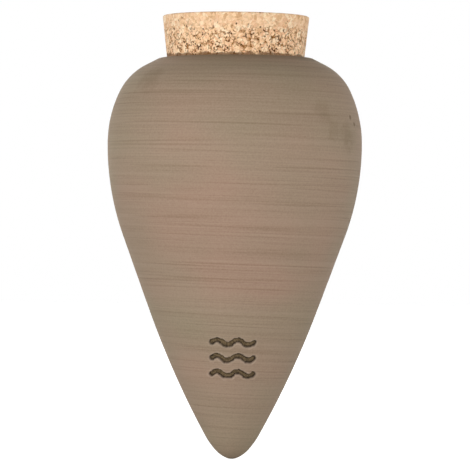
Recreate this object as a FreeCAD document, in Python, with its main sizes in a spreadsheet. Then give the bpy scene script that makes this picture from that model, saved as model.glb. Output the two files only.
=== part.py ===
# Small irrigation olla: a pointed clay vessel that is sunk into soil, with a tapered cork stopper.
# Millimetres, +Z up, origin at the lowest point of the vessel, vessel axis on Z.
import FreeCAD
import Part
import Sketcher

import math
import os

from FreeCAD import Placement, Rotation, Vector

# Driving dimensions in mm, angles in degrees, counts as whole numbers.
SIZES = {
    # Outside of the vessel, from the belly up to the mouth and down to the point
    "belly_radius": 52.0,
    "belly_height": 128.8,
    "upper_belly_radius": 50.0,
    "shoulder_radius": 23.2,
    "shoulder_flat": 9.3,
    "shoulder_rise": 36.4,
    "lower_belly_radius": 110.3,
    "flank_length": 37.0,
    "point_flank_radius": 306.0,
    "tip_radius": 9.1,
    # Wall, inside of the point, and the worn edges above and below in the mouth
    "wall": 6.0,
    "floor_radius": 7.0,
    "lip_edge": 1.4,
    "inner_lip_edge": 1.8,
    # Cork stopper, and its gap to the tapered mouth
    "cork_top_radius": 30.0,
    "cork_length": 28.0,
    "cork_taper": 6.4,
    "cork_stand": 15.8,
    "cork_edge": 0.8,
    "seat_gap": 0.3,
    # Pressed mark: short wavy grooves, one above the other, on the front of the lower body
    "mark_height": 42.0,
    "mark_depth": 1.1,
    "groove_width": 2.2,
    "wave_count": 3,
    "wave_spacing": 6.4,
    "wave_bends": 4,
    "wave_step": 4.2,
    "wave_radius": 2.9,
}

# How a sketch numbers the ends and the centre of a piece, and its own axes
START, END, CENTRE = range(1, 4)
H_AXIS, V_AXIS = range(-1, -3, -1)
ORIGIN = H_AXIS

# Radius of the mouth where its taper and the slope of the shoulder would meet, and the height of that corner
MOUTH_RADIUS = (
    "Sizes.cork_top_radius - Sizes.cork_stand * tan(Sizes.cork_taper * 1 deg)"
    " + Sizes.seat_gap / cos(Sizes.cork_taper * 1 deg)"
)
RIM_HEIGHT = "Sizes.belly_height + Sizes.shoulder_rise"


def fill_sheet(doc):
    sheet = doc.addObject("Spreadsheet::Sheet", "Sizes")
    for row, (name, value) in enumerate(SIZES.items(), start=1):
        sheet.set(f"A{row}", name)
        sheet.set(f"B{row}", str(value))
        sheet.setAlias(f"B{row}", name)
    doc.recompute()
    return sheet


def new_body(doc, label):
    body = doc.addObject("PartDesign::Body", label)
    body.Label = label
    body.Placement = Placement()
    return body


def upright_sketch(body, name):
    # X of the sketch is the part's X, Y of the sketch is the part's Z
    plane = next(p for p in body.Origin.OriginFeatures if p.Role == "XZ_Plane")
    sketch = body.newObject("Sketcher::SketchObject", name)
    sketch.AttachmentSupport = [(plane, "")]
    sketch.MapMode = "FlatFace"
    return sketch


def line(start, end):
    return Part.LineSegment(Vector(*start, 0), Vector(*end, 0))


def arc(centre, start, end):
    # Counter-clockwise from start to end
    radius = math.dist(centre, start)
    first = math.atan2(start[1] - centre[1], start[0] - centre[0])
    last = math.atan2(end[1] - centre[1], end[0] - centre[0])
    if last <= first:
        last += 2 * math.pi
    return Part.ArcOfCircle(Part.Circle(Vector(*centre, 0), Vector(0, 0, 1), radius), first, last)


def toward(start, end, distance):
    share = distance / math.dist(start, end)
    return start[0] + (end[0] - start[0]) * share, start[1] + (end[1] - start[1]) * share


def crossing(centre_a, radius_a, centre_b, radius_b, side):
    # Where two circles cross, on the side of the line from a to b that side (+1 left, -1 right) names
    apart = math.dist(centre_a, centre_b)
    along = (apart**2 + radius_a**2 - radius_b**2) / (2 * apart)
    off = side * math.sqrt(radius_a**2 - along**2)
    x, z = toward(centre_a, centre_b, along)
    dx, dz = (centre_b[0] - centre_a[0]) / apart, (centre_b[1] - centre_a[1]) / apart
    return x - off * dz, z + off * dx


def shifted(point, direction, distance):
    return point[0] + direction[0] * distance, point[1] + direction[1] * distance


def vessel_centres(size):
    # Centres of the arcs of the outside, which the inside shares, and the two straight directions
    taper = math.radians(size.cork_taper)
    mouth = size.cork_top_radius - size.cork_stand * math.tan(taper) + size.seat_gap / math.cos(taper)
    rim = (mouth, size.belly_height + size.shoulder_rise)
    upper = (size.belly_radius - size.upper_belly_radius, size.belly_height)
    lower = (size.belly_radius - size.lower_belly_radius, size.belly_height)
    tip = (0.0, size.tip_radius)
    shoulder = crossing(
        rim, math.hypot(size.shoulder_flat, size.shoulder_radius),
        upper, size.upper_belly_radius - size.shoulder_radius, +1,
    )
    flank = crossing(
        lower, math.hypot(size.point_flank_radius - size.lower_belly_radius, size.flank_length),
        tip, size.point_flank_radius - size.tip_radius, -1,
    )
    # Outward normals of the sloping shoulder and of the straight flank
    lean = math.atan2(rim[1] - shoulder[1], rim[0] - shoulder[0])
    slope = lean - math.atan2(size.shoulder_flat, size.shoulder_radius)
    lean = math.atan2(lower[1] - flank[1], lower[0] - flank[0])
    side = lean - math.atan2(size.flank_length, size.point_flank_radius - size.lower_belly_radius)
    return {
        "rim": rim, "shoulder": shoulder, "upper": upper, "lower": lower, "flank": flank, "tip": tip,
        "slope_out": (math.cos(slope), math.sin(slope)), "flank_out": (math.cos(side), math.sin(side)),
    }


def add_profile(sketch, size, at, inset, tip_centre, tip_radius, upper_end):
    # Chain of tangent lines and arcs from the mouth down to the axis, lying inset inside the outside face
    shoulder_top = shifted(at["shoulder"], at["slope_out"], size.shoulder_radius - inset)
    shoulder_end = toward(at["upper"], at["shoulder"], size.upper_belly_radius - inset)
    belly = (size.belly_radius - inset, size.belly_height)
    flank_top = shifted(at["lower"], at["flank_out"], size.lower_belly_radius - inset)
    flank_end = shifted(at["flank"], at["flank_out"], size.point_flank_radius - inset)
    tip_start = toward(at["flank"], tip_centre, size.point_flank_radius - inset)
    bottom = (0.0, tip_centre[1] - tip_radius)
    pieces = {
        "slope": line(shoulder_top, upper_end),
        "shoulder": arc(at["shoulder"], shoulder_end, shoulder_top),
        "upper": arc(at["upper"], belly, shoulder_end),
        "lower": arc(at["lower"], flank_top, belly),
        "side": line(flank_end, flank_top),
        "flank": arc(at["flank"], tip_start, flank_end),
        "tip": arc(tip_centre, bottom, tip_start),
    }
    ids = {name: sketch.addGeometry(piece, False) for name, piece in pieces.items()}
    joints = [
        ("slope", START, "shoulder", END), ("shoulder", START, "upper", END), ("upper", START, "lower", END),
        ("lower", START, "side", END), ("side", START, "flank", END), ("flank", START, "tip", END),
    ]
    for first, first_end, second, second_end in joints:
        sketch.addConstraint(
            Sketcher.Constraint("Tangent", ids[first], first_end, ids[second], second_end)
        )
    sketch.addConstraint(Sketcher.Constraint("PointOnObject", ids["tip"], CENTRE, V_AXIS))
    return ids


def bind(sketch, name, expression, kind, *where):
    # A named constraint that holds the value of an expression on the sheet
    number = sketch.addConstraint(Sketcher.Constraint(kind, *where))
    sketch.renameConstraint(number, name)
    sketch.setExpression(f"Constraints.{name}", expression)


def vessel_section(sketch, size):
    at = vessel_centres(size)
    slope_out = at["slope_out"]
    slope_down = (slope_out[1], -slope_out[0])
    taper = math.radians(size.cork_taper)
    mouth_down = (-math.sin(taper), -math.cos(taper))
    rim = at["rim"]

    # The corner under the rim is where the taper of the mouth meets the sloping inside face
    normal_fall = -(mouth_down[0] * slope_out[0] + mouth_down[1] * slope_out[1])
    inner_corner = shifted(rim, mouth_down, size.wall / normal_fall)
    lip_mouth = shifted(rim, mouth_down, size.lip_edge)
    lip_slope = shifted(rim, slope_down, size.lip_edge)
    under_mouth = shifted(inner_corner, mouth_down, -size.inner_lip_edge)
    under_slope = shifted(inner_corner, slope_down, size.inner_lip_edge)

    # The inside of the point has its own radius, so the clay is thickest there
    flank_reach = size.point_flank_radius - size.wall - size.floor_radius
    floor_centre = (0.0, at["flank"][1] - math.sqrt(flank_reach**2 - at["flank"][0] ** 2))

    outer = add_profile(sketch, size, at, 0.0, at["tip"], size.tip_radius, lip_slope)
    inner = add_profile(sketch, size, at, size.wall, floor_centre, size.floor_radius, under_slope)
    mouth = sketch.addGeometry(line(under_mouth, lip_mouth), False)
    lip = sketch.addGeometry(line(lip_slope, lip_mouth), False)
    under_lip = sketch.addGeometry(line(under_mouth, under_slope), False)
    axis = sketch.addGeometry(line((0, 0), (0, floor_centre[1] - size.floor_radius)), False)
    corner = sketch.addGeometry(Part.Point(Vector(*rim, 0)), True)
    under_corner = sketch.addGeometry(Part.Point(Vector(*inner_corner, 0)), True)

    for first, first_end, second, second_end in [
        (outer["slope"], END, lip, START), (mouth, END, lip, END),
        (mouth, START, under_lip, START), (inner["slope"], END, under_lip, END),
        (axis, START, outer["tip"], START), (axis, END, inner["tip"], START),
    ]:
        sketch.addConstraint(Sketcher.Constraint("Coincident", first, first_end, second, second_end))
    for point, slope in [(corner, outer["slope"]), (under_corner, inner["slope"])]:
        sketch.addConstraint(Sketcher.Constraint("PointOnObject", point, START, slope))
        sketch.addConstraint(Sketcher.Constraint("PointOnObject", point, START, mouth))
    for name, width, point, piece, end in [
        ("lip_outside", "lip_edge", corner, outer["slope"], END),
        ("lip_inside", "lip_edge", corner, mouth, END),
        ("under_lip_above", "inner_lip_edge", under_corner, mouth, START),
        ("under_lip_below", "inner_lip_edge", under_corner, inner["slope"], END),
    ]:
        bind(sketch, name, f"Sizes.{width}", "Distance", point, START, piece, end, getattr(size, width))

    # Outside face
    bind(sketch, "mouth_radius", MOUTH_RADIUS, "DistanceX", ORIGIN, START, corner, START, rim[0])
    bind(sketch, "rim_height", RIM_HEIGHT, "DistanceY", ORIGIN, START, corner, START, rim[1])
    bind(
        sketch, "mouth_angle", "(90 - Sizes.cork_taper) * 1 deg",
        "Angle", mouth, math.radians(90 - size.cork_taper),
    )
    bind(
        sketch, "shoulder_flat", "Sizes.shoulder_flat",
        "Distance", outer["slope"], START, corner, START, size.shoulder_flat,
    )
    for name, piece in [
        ("shoulder_radius", outer["shoulder"]), ("upper_belly_radius", outer["upper"]),
        ("lower_belly_radius", outer["lower"]), ("point_flank_radius", outer["flank"]),
        ("tip_radius", outer["tip"]), ("floor_radius", inner["tip"]),
    ]:
        bind(sketch, name, f"Sizes.{name}", "Radius", piece, getattr(size, name))
    bind(
        sketch, "belly_radius", "Sizes.belly_radius",
        "DistanceX", ORIGIN, START, outer["upper"], START, size.belly_radius,
    )
    bind(
        sketch, "belly_height", "Sizes.belly_height",
        "DistanceY", ORIGIN, START, outer["upper"], START, size.belly_height,
    )
    sketch.addConstraint(
        Sketcher.Constraint("Horizontal", outer["upper"], START, outer["upper"], CENTRE)
    )
    bind(sketch, "flank_length", "Sizes.flank_length", "Distance", outer["side"], size.flank_length)
    sketch.addConstraint(Sketcher.Constraint("Coincident", outer["tip"], START, ORIGIN, START))

    # The inside face runs beside it at the thickness of the wall
    sketch.addConstraint(Sketcher.Constraint("PointOnObject", inner["tip"], START, V_AXIS))
    for name in ("shoulder", "upper", "lower", "flank"):
        sketch.addConstraint(
            Sketcher.Constraint("Coincident", inner[name], CENTRE, outer[name], CENTRE)
        )
    for name in ("slope", "side"):
        sketch.addConstraint(Sketcher.Constraint("Parallel", inner[name], outer[name]))
    bind(
        sketch, "wall", "Sizes.lower_belly_radius - Sizes.wall",
        "Radius", inner["lower"], size.lower_belly_radius - size.wall,
    )

    # Where the mark sits on the outside, and how far that spot lies from the centre of its arc
    flank_x, flank_z = at["flank"]
    spot_run = math.sqrt(size.point_flank_radius**2 - (flank_z - size.mark_height) ** 2)
    spot = sketch.addGeometry(Part.Point(Vector(flank_x + spot_run, size.mark_height, 0)), True)
    sketch.addConstraint(Sketcher.Constraint("PointOnObject", spot, START, outer["flank"]))
    bind(
        sketch, "mark_height", "Sizes.mark_height",
        "DistanceY", ORIGIN, START, spot, START, size.mark_height,
    )
    for name, direction, start, start_end, end, end_end, value in [
        ("mark_radius", "DistanceX", ORIGIN, START, spot, START, flank_x + spot_run),
        ("mark_run", "DistanceX", outer["flank"], CENTRE, spot, START, spot_run),
        ("mark_drop", "DistanceY", spot, START, outer["flank"], CENTRE, flank_z - size.mark_height),
    ]:
        number = sketch.addConstraint(
            Sketcher.Constraint(direction, start, start_end, end, end_end, value)
        )
        sketch.setDriving(number, False)
        sketch.renameConstraint(number, name)


def make_vessel(doc, size):
    body = new_body(doc, "turned_vessel")
    section = upright_sketch(body, "vessel_section")
    vessel_section(section, size)
    turned = body.newObject("PartDesign::Revolution", "turned_wall")
    turned.Profile = (section, [""])
    turned.ReferenceAxis = (section, ["V_Axis"])
    turned.Angle = 360
    section.Visibility = False
    return body, section


def make_wave(doc, size, number):
    # Centre line of tangent arcs, bent up and down in turn, widened to a groove with round ends
    path = doc.addObject("Sketcher::SketchObject", f"wave_path_{number + 1}")
    path.Placement = Placement(Vector(), Rotation(Vector(1, 0, 0), 90))
    path.setExpression(
        "Placement.Base.z",
        f"Sizes.mark_height + ({number} - (Sizes.wave_count - 1) / 2) * Sizes.wave_spacing",
    )
    bends = int(size.wave_bends)
    left = -bends * size.wave_step / 2
    drop = math.sqrt(size.wave_radius**2 - size.wave_step**2 / 4)
    for bend in range(bends):
        near, far = (left + bend * size.wave_step, 0), (left + (bend + 1) * size.wave_step, 0)
        middle = (near[0] + far[0]) / 2
        crest = bend % 2 == 0
        piece = arc((middle, -drop), far, near) if crest else arc((middle, drop), near, far)
        path.addGeometry(piece, False)
        near_end, far_end = (END, START) if crest else (START, END)
        path.addConstraint(Sketcher.Constraint("PointOnObject", bend, far_end, H_AXIS))
        if bend == 0:
            path.addConstraint(Sketcher.Constraint("PointOnObject", bend, near_end, H_AXIS))
            bind(
                path, "half_length", "Sizes.wave_bends * Sizes.wave_step / 2",
                "DistanceX", bend, near_end, ORIGIN, START, -left,
            )
            bind(
                path, "wave_step", "Sizes.wave_step",
                "DistanceX", bend, near_end, bend, far_end, size.wave_step,
            )
            bind(path, "wave_radius", "Sizes.wave_radius", "Radius", bend, size.wave_radius)
        else:
            path.addConstraint(Sketcher.Constraint("Tangent", bend - 1, near_end, bend, near_end))
            path.addConstraint(Sketcher.Constraint("Equal", bend - 1, bend))

    groove = doc.addObject("Part::Offset2D", f"wave_groove_{number + 1}")
    groove.Source = path
    groove.Mode = "Pipe"
    groove.Join = "Arc"
    groove.setExpression("Value", "Sizes.groove_width / 2")

    # It reaches from the axis out past the widest part of the vessel, towards the front
    bar = doc.addObject("Part::Extrusion", f"wave_bar_{number + 1}")
    bar.Base = groove
    bar.DirMode = "Custom"
    bar.Dir = Vector(0, -1, 0)
    bar.Solid = True
    bar.setExpression("LengthFwd", "Sizes.belly_radius + Sizes.wall")
    return bar, path


def press_mark(doc, size, body):
    waves = [make_wave(doc, size, number) for number in range(int(size.wave_count))]
    stamp = doc.addObject("Part::MultiFuse", "mark_waves")
    stamp.Shapes = [bar for bar, path in waves]

    # A cone that runs beside the flank at the depth of the mark gives the grooves an even floor
    reach = "Sizes.wave_count * Sizes.wave_spacing * 1 mm"
    slope = "vessel_section.Constraints.mark_drop / vessel_section.Constraints.mark_run"
    middle = "vessel_section.Constraints.mark_radius - Sizes.mark_depth * 1 mm"
    floor = doc.addObject("Part::Cone", "mark_floor")
    floor.setExpression("Height", f"2 * {reach}")
    floor.setExpression("Radius1", f"{middle} - {reach} * {slope}")
    floor.setExpression("Radius2", f"{middle} + {reach} * {slope}")
    floor.setExpression("Placement.Base.z", f"Sizes.mark_height * 1 mm - {reach}")
    pressed = doc.addObject("Part::Cut", "mark_grooves")
    pressed.Base = stamp
    pressed.Tool = floor

    vessel = doc.addObject("Part::Cut", "clay_vessel")
    vessel.Base = body
    vessel.Tool = pressed
    vessel.Label = "clay_vessel"
    vessel.Placement = Placement()
    return vessel, [path for bar, path in waves]


def make_cork(doc, size):
    body = new_body(doc, "cork_stopper")
    section = upright_sketch(body, "cork_section")
    top = size.belly_height + size.shoulder_rise + size.cork_stand
    bottom = top - size.cork_length
    low_radius = size.cork_top_radius - size.cork_length * math.tan(math.radians(size.cork_taper))
    corners = [(0, bottom), (low_radius, bottom), (size.cork_top_radius, top), (0, top)]
    for number, corner in enumerate(corners):
        section.addGeometry(line(corner, corners[(number + 1) % 4]), False)
    under, flank, over, axis = range(4)
    for number in range(4):
        section.addConstraint(
            Sketcher.Constraint("Coincident", number, END, (number + 1) % 4, START)
        )
    section.addConstraint(Sketcher.Constraint("Horizontal", under))
    section.addConstraint(Sketcher.Constraint("Horizontal", over))
    section.addConstraint(Sketcher.Constraint("PointOnObject", axis, START, V_AXIS))
    section.addConstraint(Sketcher.Constraint("PointOnObject", axis, END, V_AXIS))
    bind(
        section, "cork_top", f"{RIM_HEIGHT} + Sizes.cork_stand",
        "DistanceY", ORIGIN, START, axis, START, top,
    )
    bind(
        section, "cork_length", "Sizes.cork_length",
        "DistanceY", axis, END, axis, START, size.cork_length,
    )
    bind(
        section, "cork_top_radius", "Sizes.cork_top_radius",
        "DistanceX", axis, START, flank, END, size.cork_top_radius,
    )
    bind(
        section, "cork_angle", "(90 - Sizes.cork_taper) * 1 deg",
        "Angle", flank, math.radians(90 - size.cork_taper),
    )
    cone = body.newObject("PartDesign::Revolution", "cork_cone")
    cone.Profile = (section, [""])
    cone.ReferenceAxis = (section, ["V_Axis"])
    cone.Angle = 360
    section.Visibility = False
    doc.recompute()

    rims = [
        f"Edge{number}" for number, edge in enumerate(cone.Shape.Edges, start=1)
        if isinstance(edge.Curve, Part.Circle)
    ]
    edges = body.newObject("PartDesign::Chamfer", "worn_edges")
    edges.Base = (cone, rims)
    edges.setExpression("Size", "Sizes.cork_edge")
    return body, section


def check(doc, parts, sketches):
    failed = [o.Name for o in doc.Objects if {"Invalid", "Error"} & set(o.State)]
    if failed:
        raise RuntimeError(f"objects that did not compute: {failed}")
    for sketch in sketches:
        if sketch.solve() != 0 or not sketch.FullyConstrained:
            raise RuntimeError(f"{sketch.Name} is not fully constrained")
    for part in parts:
        shape = part.Shape
        if shape.isNull() or not shape.isValid() or len(shape.Solids) != 1:
            raise RuntimeError(f"{part.Label} is not one valid solid")


def main():
    doc = FreeCAD.newDocument("irrigation_olla")
    sheet = fill_sheet(doc)
    body, vessel_sketch = make_vessel(doc, sheet)
    vessel, wave_paths = press_mark(doc, sheet, body)
    cork, cork_sketch = make_cork(doc, sheet)
    doc.recompute()

    parts = [vessel, cork]
    check(doc, parts, [vessel_sketch, cork_sketch, *wave_paths])
    pressed_out = body.Shape.Volume - vessel.Shape.Volume
    if pressed_out <= 0:
        raise RuntimeError("the mark cuts nothing")
    print(f"mark removes {pressed_out:.1f} mm3")

    os.makedirs("parts", exist_ok=True)
    for part in parts:
        part.Shape.exportStep(f"parts/{part.Label}.step")
        print(f"{part.Label}: {part.Shape.Volume / 1000:.2f} cm3")


main()
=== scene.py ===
# Irrigation olla: a pointed vessel of turned, unglazed clay, closed with a tapered stopper of
# pressed cork. Metres, +Z up, the vessel's point at the origin. The front, with its pressed waves,
# looks along -Y.
import math

import bpy
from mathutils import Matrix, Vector


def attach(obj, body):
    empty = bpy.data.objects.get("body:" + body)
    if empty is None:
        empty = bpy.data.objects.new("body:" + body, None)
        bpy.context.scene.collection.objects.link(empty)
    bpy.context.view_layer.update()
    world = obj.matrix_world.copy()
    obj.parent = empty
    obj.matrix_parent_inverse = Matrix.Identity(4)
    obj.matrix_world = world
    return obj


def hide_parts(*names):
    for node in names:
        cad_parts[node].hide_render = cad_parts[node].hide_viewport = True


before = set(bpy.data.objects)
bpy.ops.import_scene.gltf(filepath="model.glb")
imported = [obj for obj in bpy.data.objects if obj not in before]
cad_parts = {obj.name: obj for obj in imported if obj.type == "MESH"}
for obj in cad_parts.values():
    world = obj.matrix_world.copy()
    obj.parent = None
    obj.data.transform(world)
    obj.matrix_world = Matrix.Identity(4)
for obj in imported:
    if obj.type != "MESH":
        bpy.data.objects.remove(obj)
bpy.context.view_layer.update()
print("frame loaded:", sorted(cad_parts))

mm = 0.001


def linear(hexColour):
    # An sRGB hex colour as the linear values that Blender works in
    channels = [int(hexColour[start:start + 2], 16) / 255 for start in (1, 3, 5)]
    return [c / 12.92 if c <= 0.04045 else ((c + 0.055) / 1.055) ** 2.4 for c in channels] + [1.0]


def addNode(tree, kind, inputs=None, **settings):
    # An input takes a value, a node (its first output), or a pair of a node and one of its outputs.
    # Map Range goes from inputs 1 and 2 to inputs 3 and 4, or to 0 and 1. A Mix of colours has them
    # at inputs 6 and 7 and its result at output 2
    node = tree.nodes.new(kind)
    for name, value in settings.items():
        setattr(node, name, value)
    for place, value in (inputs or {}).items():
        isPair = isinstance(value, tuple) and isinstance(value[0], bpy.types.Node)
        source, output = value if isPair else (value, 0)
        if isinstance(source, bpy.types.Node):
            tree.links.new(source.outputs[output], node.inputs[place])
        else:
            node.inputs[place].default_value = value
    return node


def newMaterial(name):
    material = bpy.data.materials.new(name)
    material.use_nodes = True
    material.node_tree.nodes.clear()
    return material, material.node_tree


def setStops(ramp, stops):
    # Places and colours along a colour ramp, in rising order
    while len(ramp.elements) < len(stops):
        ramp.elements.new(0.5)
    for element, (place, colour) in zip(ramp.elements, stops):
        element.position = place
        element.color = colour


def newTree(name, sizes):
    # A geometry tree whose inputs carry the names of the piece's own values
    tree = bpy.data.node_groups.new(name, "GeometryNodeTree")
    tree.interface.new_socket("Geometry", in_out="INPUT", socket_type="NodeSocketGeometry")
    tree.interface.new_socket("Geometry", in_out="OUTPUT", socket_type="NodeSocketGeometry")
    for label, value in sizes.items():
        kind = "NodeSocketInt" if isinstance(value, int) else "NodeSocketFloat"
        tree.interface.new_socket(label, in_out="INPUT", socket_type=kind)
    return tree, addNode(tree, "NodeGroupInput")


def applyTree(piece, tree, sizes):
    # Inputs are set by identifier, then the evaluated result becomes the piece's own plain mesh
    modifier = piece.modifiers.new(tree.name, "NODES")
    modifier.node_group = tree
    for item in tree.interface.items_tree:
        if item.in_out == "INPUT" and item.name in sizes:
            modifier[item.identifier] = sizes[item.name]
    depsgraph = bpy.context.evaluated_depsgraph_get()
    plain = bpy.data.meshes.new_from_object(
        piece.evaluated_get(depsgraph), preserve_all_data_layers=True, depsgraph=depsgraph
    )
    piece.modifiers.clear()
    piece.data = plain
    plain.name = piece.name
    triangles = sum(len(polygon.vertices) - 2 for polygon in plain.polygons)
    print(f"{piece.name}: {triangles} triangles after {tree.name}")


def meshPiece(name, vertices, faces):
    mesh = bpy.data.meshes.new(name)
    mesh.from_pydata(vertices, [], faces)
    mesh.validate()
    piece = bpy.data.objects.new(name, mesh)
    bpy.context.scene.collection.objects.link(piece)
    return piece


def turned(name, section, angles):
    # A closed shell: the section, which starts and ends on the axis, goes round through the angles
    vertices = [(0, 0, section[0][1])]
    faces = []
    count = len(angles)
    for radius, height in section[1:-1]:
        vertices += [(radius * math.cos(a), radius * math.sin(a), height) for a in angles]
    vertices.append((0, 0, section[-1][1]))
    last = len(vertices) - 1
    for k in range(count):
        following = (k + 1) % count
        faces.append((0, 1 + following, 1 + k))
        for row in range(len(section) - 3):
            low, high = 1 + row * count, 1 + (row + 1) * count
            faces.append((low + k, low + following, high + following, high + k))
        faces.append((last - count + k, last - count + following, last))
    piece = meshPiece(name, vertices, faces)
    piece.data.shade_smooth()
    return piece


def roundedCorner(corner, fromAngle, toAngle, radius):
    # Centre of the arc that rounds a corner between two faces, from the angles of their normals
    half = (toAngle - fromAngle) / 2
    middle = (fromAngle + toAngle) / 2
    reach = radius / math.cos(half)
    return corner[0] - reach * math.cos(middle), corner[1] - reach * math.sin(middle)


def sectionOf(arcs):
    # Points in metres along a chain of arcs and the straight lines between them
    points = []
    spacingBefore = 0.0
    for centre, radius, fromAngle, toAngle, spacing in arcs:
        steps = max(2, math.ceil(abs(toAngle - fromAngle) * radius / spacing))
        turns = [fromAngle + (toAngle - fromAngle) * step / steps for step in range(steps + 1)]
        run = [(centre[0] + radius * math.cos(a), centre[1] + radius * math.sin(a)) for a in turns]
        if points:
            # Arcs that touch share one point, and others get points along the line between them
            start, end = points.pop(), run[0]
            gaps = math.ceil(math.dist(start, end) / max(spacing, spacingBefore) - 0.001)
            points += [
                tuple(a + (b - a) * gap / gaps for a, b in zip(start, end)) for gap in range(gaps)
            ]
        points += run
        spacingBefore = spacing
    return [(radius * mm, height * mm) for radius, height in points]


materials = {}

# Unglazed stoneware clay, turned on a wheel and left raw: dull, faintly dusty at grazing angles, with
# fine lines from the turning tool and warm and olive patches from the kiln. Sizes are in millimetres
clayLook = {
    "reddish": "#9f8572", "plain": "#998571", "olive": "#94856f",
    # Painted shade: the floor and the walls of the pressed waves
    "markFloorShade": "#65553e", "markWallShade": "#180f06", "dust": "#b4ada2", "rimShadow": "#4a351c",
    # Length round the vessel, pitch along its height and octaves of detail
    "fineLines": (60.0, 0.53, 1.6), "bands": (60.0, 1.5, 1.0), "scratches": (64.0, 0.85, 0.5),
    "patches": (34.0, 22.0, 1.0),
    "noiseApart": 31.0,  # each of them reads another part of the noise
    "scratchFrom": 0.58, "scratchTo": 0.74,  # of the noise, from a scratch's edge to its middle
    "grain": 0.7,
    "rimHeight": 165.0, "fallAtPoint": 0.057, "fallAtRim": 0.005,  # of the lines, towards the right
    # Warmth by height, with a blush across the belly. The sides lose some of it, by the square of
    # their distance from the middle, and the shoulder's sides lose less
    "warmth": {0: 0.4, 25: 0.52, 56: 0.5, 74: 0.62, 106: 0.64, 119: 0.55, 139: 0.5, 165: 0.45},
    "oliveAt": 0.36, "plainAt": 0.5, "reddishAt": 0.64,
    "coolingFrom": 100.0, "coolingTo": 140.0, "bellyCooling": -0.00008, "shoulderCooling": -0.00001,
    "patchShare": 0.4,
    # Lightness, and what each mark adds to it or takes from it. The burr's share is a painted
    # highlight on the raised clay beside the waves
    "baseShade": 0.66,
    "shades": {"fineLines": 0.28, "bands": 0.1, "scratches": -0.1, "grain": 0.3, "burr": 0.34},
    "shoulderFrom": 118.0, "shoulderTo": 158.0, "shoulderShade": -0.06,  # painted shade: darker towards the rim, where less light falls on the shoulder
    "saturation": 1.4, "saturationByShade": -0.4,  # darker clay is a little stronger in colour
    # Smudges and nicks from handling: place, reach and strength. The nicks' darkness is painted shade
    # of small dents
    "smudges": [(-34.4, -29.5, 153.5, 9.0, -0.13), (45.5, -25.0, 131.5, 8.0, -0.16),
                (39.5, -33.5, 134.0, 7.0, -0.1), (35.0, -36.4, 141.3, 7.0, -0.1)],
    "nicks": [(46.4, -20.8, 139.4, 1.3, -0.4), (48.2, -17.8, 136.8, 1.2, -0.4)],
    "smearScale": 0.22,  # for each millimetre
    "smudgeSpread": 9.0, "smudgeCore": 0.2, "nickSpread": 1.4, "nickCore": 0.5,
    # Painted shadow: a brown darkening of the clay just below the lip, round the cork
    "rimShadowFrom": 161.6, "rimShadowTo": 164.8, "rimShadowShare": 0.72,
    "floorDark": 0.62, "floorLight": 1.25,  # mottling of the painted shade on the groove floor
    "relief": {"fineLines": 0.5, "grain": 0.35, "scratches": -0.3}, "reliefDepth": 0.1,
    "roughness": 0.86, "ior": 1.45, "specular": 0.22, "sheen": 0.03,
}


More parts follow.
